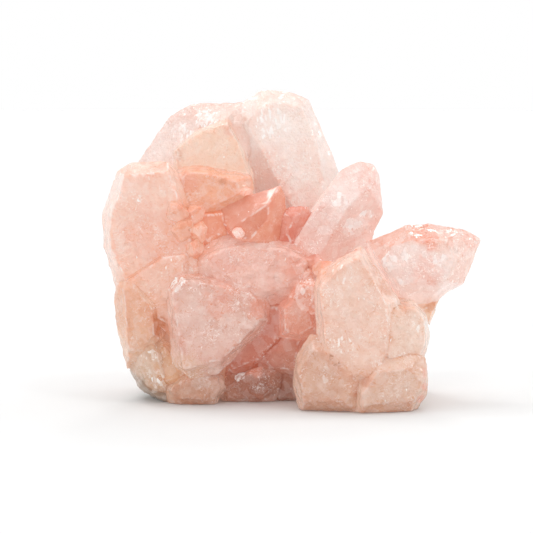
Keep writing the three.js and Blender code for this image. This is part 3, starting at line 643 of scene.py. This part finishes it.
def quartzMaterial(name):
    finish = {**usualFinish, **finishes[name]}
    material = bpy.data.materials.new(name)
    material.use_nodes = True
    tree = material.node_tree
    tree.nodes.clear()
    place = addNode(tree, "ShaderNodeTexCoord").outputs["Object"]
    baseColour = addNode(tree, "ShaderNodeAttribute", {"attribute_name": "quartzColour"}).outputs["Color"]
    milk = addNode(tree, "ShaderNodeAttribute", {"attribute_name": "milk"}).outputs["Fac"]
    frost = addNode(tree, "ShaderNodeAttribute", {"attribute_name": "frost"}).outputs["Fac"]
    hollow = addNode(tree, "ShaderNodeAttribute", {"attribute_name": "hollow"}).outputs["Fac"]

    # swirls inside, and the grain of the broken surface
    swirl = addNode(tree, "ShaderNodeTexNoise", {
        "Scale": 1 / mm(layers["swirl"]), "Detail": 6.0, "Roughness": 0.66, "Distortion": 1.6},
        {"Vector": place})
    grain = addNode(tree, "ShaderNodeTexNoise", {
        "Scale": 1 / mm(layers["grain"]), "Detail": 2.0, "Roughness": 0.5, "Distortion": 0.8},
        {"Vector": place})
    mottle = addNode(tree, "ShaderNodeMapRange", {
        "From Min": 0.3, "From Max": 0.7, "To Min": 1 - layers["mottle"], "To Max": 1 + layers["mottle"]},
        {"Value": swirl})
    mottled = addNode(tree, "ShaderNodeGamma", {}, {"Color": baseColour, "Gamma": mottle})

    # plates: flat cracks inside, each brighter or deeper than the next, with painted reflections in them
    bent = addNode(tree, "ShaderNodeVectorMath", {
        "operation": "MULTIPLY_ADD", 1: (mm(layers["plateBend"]),) * 3},
        {0: swirl.outputs["Color"], 2: place})
    plate = addNode(tree, "ShaderNodeTexVoronoi", {"Scale": 1 / mm(layers["plate"])}, {"Vector": bent})
    plateTone = addNode(tree, "ShaderNodeSeparateColor", {}, {0: plate.outputs["Color"]})
    plateBright = addNode(tree, "ShaderNodeMapRange", {
        "From Min": 0.62, "From Max": 0.7, "To Max": finish["platesAndReflections"]}, {"Value": plateTone.outputs[0]})
    plateDeep = addNode(tree, "ShaderNodeMapRange", {
        "From Min": 0.3, "From Max": 0.24, "To Max": finish["platesAndReflections"] * 0.5},
        {"Value": plateTone.outputs[1]})
    plated = addNode(tree, "ShaderNodeMix", {"data_type": "RGBA", 7: hexColour(plateAndReflectionWhite) + [1]},
                     {0: plateBright, 6: mottled})
    deepened = addNode(tree, "ShaderNodeHueSaturation", {"Saturation": 1.5, "Value": 0.93},
                       {"Fac": plateDeep, "Color": plated.outputs[2]})

    # healed cracks: fine white curls, where a swirling field crosses its middle value
    field = addNode(tree, "ShaderNodeTexNoise", {
        "Scale": 1 / mm(layers["field"]), "Detail": 1.5, "Roughness": 0.55, "Distortion": 2.2},
        {"Vector": place})
    ridge = addNode(tree, "ShaderNodeMath", {"operation": "SUBTRACT", 1: 0.5}, {0: field})
    edge = addNode(tree, "ShaderNodeMath", {"operation": "ABSOLUTE"}, {0: ridge})
    curl = addNode(tree, "ShaderNodeMapRange", {
        "From Min": 0.012, "From Max": 0.045, "To Min": layers["curl"], "To Max": 0.0}, {"Value": edge})
    # and deep red threads of iron, where the same field crosses a lower value
    lower = addNode(tree, "ShaderNodeMath", {"operation": "SUBTRACT", 1: 0.36}, {0: field})
    lowerEdge = addNode(tree, "ShaderNodeMath", {"operation": "ABSOLUTE"}, {0: lower})
    thread = addNode(tree, "ShaderNodeMapRange", {
        "From Min": 0.005, "From Max": 0.03, "To Min": layers["thread"] * finish["fleck"], "To Max": 0.0},
        {"Value": lowerEdge})
    threaded = addNode(tree, "ShaderNodeHueSaturation", {"Saturation": 1.8, "Value": 0.85},
                       {"Fac": thread, "Color": deepened})
    # flecks: small bright flaws and painted glints, drawn longer upwards
    stretched = addNode(tree, "ShaderNodeVectorMath", {
        "operation": "MULTIPLY", 1: (1.0, 1.0, layers["fleckStretch"])}, {0: bent})
    fleckCells = addNode(tree, "ShaderNodeTexVoronoi", {"Scale": 1 / mm(layers["fleckCell"])},
                   {"Vector": stretched})
    fleckPick = addNode(tree, "ShaderNodeSeparateColor", {}, {0: fleckCells.outputs["Color"]})
    fleckChosen = addNode(tree, "ShaderNodeMath", {
        "operation": "LESS_THAN", 1: layers["fleckShare"] * finish["fleck"]}, {0: fleckPick.outputs[0]})
    fleckSpot = addNode(tree, "ShaderNodeMapRange", {
        "From Min": 0.06, "From Max": 0.14, "To Min": layers["fleck"], "To Max": 0.0},
        {"Value": fleckCells.outputs["Distance"]})
    fleck = addNode(tree, "ShaderNodeMath", {"operation": "MULTIPLY"}, {0: fleckChosen, 1: fleckSpot})
    region = addNode(tree, "ShaderNodeTexNoise", {"Scale": 1 / mm(layers["region"]), "Detail": 2.0},
                     {"Vector": place})
    curlRegion = addNode(tree, "ShaderNodeMapRange", {
        "From Min": 0.45, "From Max": 0.6, "To Max": finish["fleck"]}, {"Value": region})
    curlShare = addNode(tree, "ShaderNodeMapRange", {"From Min": 0.43, "From Max": 0.56}, {"Value": grain})
    brokenCurl = addNode(tree, "ShaderNodeMath", {"operation": "MULTIPLY"}, {0: curl, 1: curlShare})
    curls = addNode(tree, "ShaderNodeMath", {"operation": "MULTIPLY"}, {0: brokenCurl, 1: curlRegion})
    # frosted places, which also stand as painted highlights: two crossing sets of white shards, with clear
    # quartz between them
    shardSets = []
    for turn in layers["shardTurns"]:
        tilted = addNode(tree, "ShaderNodeMapping", {
            "Rotation": turn, "Scale": (1.0, 1.0, layers["shardStretch"])}, {"Vector": place})
        shard = addNode(tree, "ShaderNodeTexVoronoi", {"Scale": 1 / mm(finish["shard"])},
                        {"Vector": tilted})
        pick = addNode(tree, "ShaderNodeSeparateColor", {}, {0: shard.outputs["Color"]})
        few = addNode(tree, "ShaderNodeMath", {"operation": "ADD"}, {0: frost, 1: pick.outputs[1]})
        chosen = addNode(tree, "ShaderNodeMapRange", {
            "From Min": 1.3, "From Max": 1.36, "To Max": layers["shardMost"]}, {"Value": few})
        tone = addNode(tree, "ShaderNodeMapRange", {"To Min": 0.3, "To Max": 1.0}, {"Value": pick.outputs[2]})
        shardSets.append(addNode(tree, "ShaderNodeMath", {"operation": "MULTIPLY"}, {0: chosen, 1: tone}))
    shardWhite = addNode(tree, "ShaderNodeMath", {"operation": "MAXIMUM"}, {0: shardSets[0], 1: shardSets[1]})
    # cracks: a net of thin bright lines round bent cells, only here and there
    torn = addNode(tree, "ShaderNodeVectorMath", {
        "operation": "MULTIPLY_ADD", 1: (mm(layers["netBend"]),) * 3},
        {0: swirl.outputs["Color"], 2: place})
    net = addNode(tree, "ShaderNodeTexVoronoi", {
        "feature": "DISTANCE_TO_EDGE", "Scale": 1 / mm(layers["net"])}, {"Vector": torn})
    netLine = addNode(tree, "ShaderNodeMapRange", {
        "From Min": 0.0, "From Max": 0.03, "To Min": layers["netLine"], "To Max": 0.0}, {"Value": net})
    netRegion = addNode(tree, "ShaderNodeMapRange", {
        "From Min": 0.48, "From Max": 0.38, "To Max": finish["fleck"]}, {"Value": region})
    nets = addNode(tree, "ShaderNodeMath", {"operation": "MULTIPLY"}, {0: netLine, 1: netRegion})
    curlsAndNets = addNode(tree, "ShaderNodeMath", {"operation": "MAXIMUM"}, {0: nets, 1: curls})
    cracked = addNode(tree, "ShaderNodeMath", {"operation": "MAXIMUM"}, {0: fleck, 1: curlsAndNets})
    white = addNode(tree, "ShaderNodeMath", {"operation": "MAXIMUM"}, {0: cracked, 1: shardWhite})
    finalColour = addNode(tree, "ShaderNodeMix", {"data_type": "RGBA", 7: hexColour(flawAndHighlightWhite) + [1]},
                          {0: white, 6: threaded})

    # white flaws, painted glints and highlights, and milk stop the light, clear parts let it through
    blocked = addNode(tree, "ShaderNodeMath", {"operation": "MAXIMUM"}, {0: white, 1: milk})
    clearness = addNode(tree, "ShaderNodeMapRange", {"To Min": finish["clear"], "To Max": 0.0},
                        {"Value": blocked})
    roughness = addNode(tree, "ShaderNodeMapRange", {
        "From Min": 0.3, "From Max": 0.7, "To Min": finish["rough"] * 0.6, "To Max": finish["rough"] * 1.5},
        {"Value": grain})
    ridges = addNode(tree, "ShaderNodeMath", {"operation": "ADD"}, {0: edge, 1: swirl})
    ground = addNode(tree, "ShaderNodeMath", {"operation": "MULTIPLY_ADD", 1: layers["grainRelief"]},
                     {0: grain, 2: ridges})
    steps = addNode(tree, "ShaderNodeMath", {"operation": "MULTIPLY_ADD", 1: layers["plateRelief"]},
                    {0: plateTone.outputs[2], 2: ground})
    bump = addNode(tree, "ShaderNodeBump", {"Strength": finish["relief"], "Distance": mm(layers["bump"])},
                   {"Height": steps})
    # painted glow: the surface gives out its own colour as emitted light though it is no lamp, standing
    # in for light scattered through the cluster; more of it in hollows, where it lifts the shade, and the
    # base colour is dimmed by the same share
    paintedGlow = addNode(tree, "ShaderNodeMapRange", {
        "To Min": finish["paintedGlow"], "To Max": finish["paintedGlow"] * layers["paintedHollowGlow"]}, {"Value": hollow})
    unglowing = addNode(tree, "ShaderNodeMath", {"operation": "SUBTRACT", 0: 1.0}, {1: paintedGlow})
    shaded = addNode(tree, "ShaderNodeHueSaturation", {},
                     {"Color": finalColour.outputs[2], "Value": unglowing})
    shader = addNode(tree, "ShaderNodeBsdfPrincipled", {
        "IOR": layers["refraction"],
        "Subsurface Weight": 0.0 if name == "grey_host_rock" else layers["scatter"],
        "Subsurface Radius": layers["scatterRadius"], "Subsurface Scale": mm(layers["scatterDepth"]),
        "Coat Weight": layers["coat"], "Coat Roughness": layers["coatRough"]}, {
        "Base Color": shaded, "Roughness": roughness, "Transmission Weight": clearness,
        "Normal": bump, "Emission Color": finalColour.outputs[2], "Emission Strength": paintedGlow})
    addNode(tree, "ShaderNodeOutputMaterial", {}, {"Surface": shader})
    return material


materials = {name: quartzMaterial(name) for name in finishes}
slots = {part["node"]: part["material_slot"] for part in frame["record"]["subparts"]}
triangles = 0
for node, crystal in crystals.items():
    points, rows, columns, mirrored = crystalSurface(crystal)
    mesh = gridMesh(node + "_surface", points, rows, columns, mirrored)
    colour, milk, frost, hollow = crystalColour(node, crystal, points)
    colours = np.concatenate([np.clip(colour, 0, 1), np.ones((len(points), 1))], axis=1)
    mesh.attributes.new("quartzColour", "FLOAT_COLOR", "POINT").data.foreach_set(
        "color", colours.astype(np.float32).ravel())
    for name, values in (("milk", milk), ("frost", frost), ("hollow", hollow)):
        mesh.attributes.new(name, "FLOAT", "POINT").data.foreach_set("value", values.astype(np.float32))
    piece = bpy.data.objects.new(node + "_surface", mesh)
    bpy.context.scene.collection.objects.link(piece)
    mesh.materials.append(materials[crystal["settings"].get("finish", slots[node])])
    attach(piece, "root")
    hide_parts(node)
    triangles += 2 * rows * columns
say("surfaces made,", triangles, "triangles")

# A white studio: brightness of the sky at the horizon, on the walls and overhead, strengths of the lamps
studio = {
    "horizon": 1.0, "walls": 0.45, "ceiling": 1.2,
    "wallsFrom": (0.42, 0.58), "ceilingFrom": (0.82, 0.88),  # as sines of the height above the floor
    "overhead": 0.45, "overheadWidth": 40,  # strength, and width in degrees
    "windows": 6, "window": 0.3, "windowWidth": 10,
    "firstWindow": 0.35, "lowWindow": 0.45, "windowRise": 0.5,  # turn of the first, and their heights
    "floorRadius": 3.0, "floorDrop": 0.05,  # m, and mm under the resting face
}
world = bpy.data.worlds.new("white_studio")
bpy.context.scene.world = world
world.use_nodes = True
sky = world.node_tree
outlook = addNode(sky, "ShaderNodeTexCoord").outputs["Generated"]
rise = addNode(sky, "ShaderNodeSeparateXYZ", {}, {0: outlook}).outputs["Z"]
# white round the horizon, dimmer walls above it, and a bright ceiling straight overhead
walls = addNode(sky, "ShaderNodeMapRange", {
    "interpolation_type": "SMOOTHSTEP", "From Min": studio["wallsFrom"][0],
    "From Max": studio["wallsFrom"][1], "To Min": studio["horizon"], "To Max": studio["walls"]},
    {"Value": rise})
ceiling = addNode(sky, "ShaderNodeMapRange", {
    "interpolation_type": "SMOOTHSTEP", "From Min": studio["ceilingFrom"][0],
    "From Max": studio["ceilingFrom"][1], "To Max": studio["ceiling"]}, {"Value": rise})
brightness = addNode(sky, "ShaderNodeMath", {"operation": "ADD"}, {0: walls, 1: ceiling})
sky.links.new(brightness.outputs[0], sky.nodes["Background"].inputs["Strength"])
sky.nodes["Background"].inputs["Color"].default_value = (1.0, 1.0, 1.0, 1.0)

# a wide soft light overhead, and a ring of small windows whose reflections glint on the facets
lamps = {"overhead_softbox": (studio["overhead"], studio["overheadWidth"], Vector((-0.2, 0.2, 1.0)))}
for index in range(studio["windows"]):
    turn = 2 * math.pi * (index + studio["firstWindow"]) / studio["windows"]
    height = studio["lowWindow"] + studio["windowRise"] * (index % 3)
    towards = Vector((math.cos(turn), math.sin(turn), height))
    lamps["window_%d" % (index + 1)] = (studio["window"], studio["windowWidth"], towards)
for name, (strength, width, towards) in lamps.items():
    light = bpy.data.lights.new(name, "SUN")
    light.energy = strength
    light.angle = math.radians(width)
    lamp = bpy.data.objects.new(name, light)
    lamp.rotation_euler = towards.to_track_quat("Z", "Y").to_euler()
    bpy.context.scene.collection.objects.link(lamp)

# Uncoated white paper: flat and dull, so that the shadow under the cluster is soft and plain
floorMaterial = bpy.data.materials.new("white_paper")
floorMaterial.use_nodes = True
paper = floorMaterial.node_tree.nodes["Principled BSDF"]
paper.inputs["Base Color"].default_value = hexColour("#dcdddd") + [1]
paper.inputs["Roughness"].default_value = 0.9
bm = bmesh.new()
bmesh.ops.create_circle(bm, cap_ends=True, segments=96, radius=studio["floorRadius"])
bmesh.ops.translate(bm, verts=bm.verts, vec=(0, 0, -mm(studio["floorDrop"])))
floorMesh = bpy.data.meshes.new("floor")
bm.to_mesh(floorMesh)
bm.free()
floor = bpy.data.objects.new("floor", floorMesh)
floorMesh.materials.append(floorMaterial)
bpy.context.scene.collection.objects.link(floor)

# Camera low in front with a long lens: degrees above the floor, distance in m, lens in mm, and the place
# that it looks at
cameraSettings = {"elevation": 5.5, "distance": 0.75, "lens": 161.1, "aim": (-0.008, -0.00585, 0.04272)}
camera = bpy.data.objects.new("camera", bpy.data.cameras.new("camera"))
camera.data.lens = cameraSettings["lens"]
tilt = math.radians(cameraSettings["elevation"])
aim = Vector(cameraSettings["aim"])
camera.location = aim + Vector((0, -math.cos(tilt), math.sin(tilt))) * cameraSettings["distance"]
camera.rotation_euler = (math.pi / 2 - tilt, 0, 0)
camera.data.clip_start = 0.01
camera.data.clip_end = 20
bpy.context.scene.collection.objects.link(camera)
bpy.context.scene.camera = camera
bpy.context.scene.view_settings.view_transform = "Standard"
